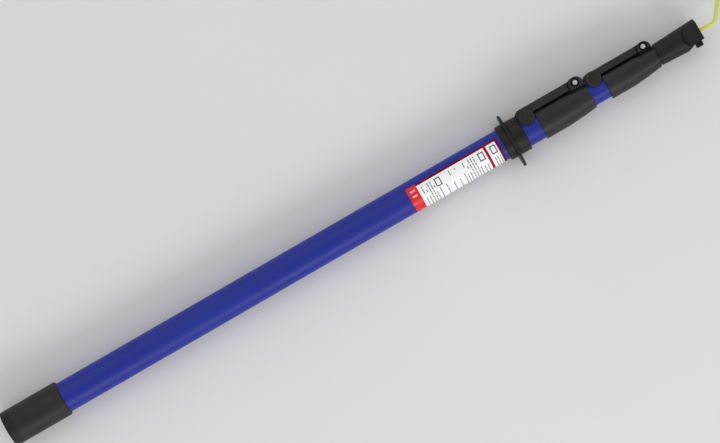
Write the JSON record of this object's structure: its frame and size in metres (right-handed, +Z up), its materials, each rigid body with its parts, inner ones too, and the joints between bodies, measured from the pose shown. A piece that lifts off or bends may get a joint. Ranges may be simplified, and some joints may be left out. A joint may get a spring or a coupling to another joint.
{
  "type": "telescopic boat hook pole",
  "caption": "Telescopic pole for a boat hook, pushed together: lever clamps, winged hand stop, butt cap, flat-sided tool nose and a cord",
  "frame": {"origin": "centre of the butt's end face, on the pole's axis", "axes": "+X runs along the pole to the nose, +Y to the side of the clamp levers, +Z up from the floor it lies on"},
  "size_m": [1.0746, 0.104, 0.044],
  "materials": {
    "butt_rubber": "matt moulded rubber",
    "soft_rubber": "soft matt rubber",
    "blue_tube": "satin glass-fibre tube, moulded-in blue",
    "label_film": "printed self-adhesive film, white panels on red",
    "collar_black": "fine-grained moulded plastic",
    "clamp_black": "fine-grained glass-filled nylon",
    "pale_plastic": "natural acetal",
    "bright_steel": "bright turned stainless steel",
    "nose_black": "fine-grained moulded plastic",
    "yellow_cord": "braided polyester cord, yellow-green",
    "tie_webbing": "woven hook-and-loop webbing"
  },
  "bodies": {
    "handle": {"butt_foot": "butt_rubber", "butt_cap": "butt_rubber", "butt_plug": "pale_plastic", "butt_screw": "bright_steel", "butt_buffer": "soft_rubber", "outer_tube": "blue_tube", "label": "label_film", "collar_rear_ring": "collar_black", "wing_plate": "collar_black", "collar_front_ring": "collar_black", "collar_grub_screws": "bright_steel", "clamp_1_body": "clamp_black", "clamp_1_rivets": "bright_steel", "clamp_1_bush": "pale_plastic", "clamp_1_pin": "bright_steel"},
    "lever_1": {"lever_1": "clamp_black", "lever_1_grip_pads": "soft_rubber"},
    "shoe_1": {"clamp_1_shoe": "pale_plastic"},
    "middle_section": {"middle_tube": "blue_tube", "middle_rear_guide": "pale_plastic", "middle_stop_ring": "pale_plastic", "clamp_2_body": "clamp_black", "clamp_2_rivets": "bright_steel", "clamp_2_bush": "pale_plastic", "clamp_2_pin": "bright_steel"},
    "lever_2": {"lever_2": "clamp_black", "lever_2_grip_pads": "soft_rubber"},
    "shoe_2": {"clamp_2_shoe": "pale_plastic"},
    "tip_section": {"tip_tube": "blue_tube", "tip_rear_guide": "pale_plastic", "tip_stop_ring": "pale_plastic", "nose_sleeve": "nose_black", "nose_head": "nose_black", "nose_screw": "bright_steel", "cord_fairlead": "bright_steel", "cord_stopper_knot": "yellow_cord", "cord_inner": "yellow_cord", "cord_run": "yellow_cord", "cord_coil": "yellow_cord", "cord_tie": "tie_webbing", "cord_end_knot": "yellow_cord"}
  },
  "joints": [
    {"name": "lever_1_swing", "type": "hinge", "parent": "handle", "child": "lever_1", "pos_m": [0.7878, 0.0207, 0], "axis": [0, 0, -1], "range_deg": [0, 95]},
    {"name": "shoe_1_release", "type": "slide", "parent": "handle", "child": "shoe_1", "axis": [0, 1, 0], "range_m": [0, 0.0002]},
    {"name": "middle_slide", "type": "slide", "parent": "handle", "child": "middle_section", "axis": [1, 0, 0], "range_m": [0, 0.5334]},
    {"name": "lever_2_swing", "type": "hinge", "parent": "middle_section", "child": "lever_2", "pos_m": [0.879, 0.01745, 0], "axis": [0, 0, -1], "range_deg": [0, 95]},
    {"name": "shoe_2_release", "type": "slide", "parent": "middle_section", "child": "shoe_2", "axis": [0, 1, 0], "range_m": [0, 0.0002]},
    {"name": "tip_slide", "type": "slide", "parent": "middle_section", "child": "tip_section", "axis": [1, 0, 0], "range_m": [0, 0.5949]}
  ],
  "couplings": [
    {"joint": "shoe_1_release", "follows": "lever_1_swing", "m_per_rad": 0.00012},
    {"joint": "shoe_2_release", "follows": "lever_2_swing", "m_per_rad": 0.00012}
  ]
}
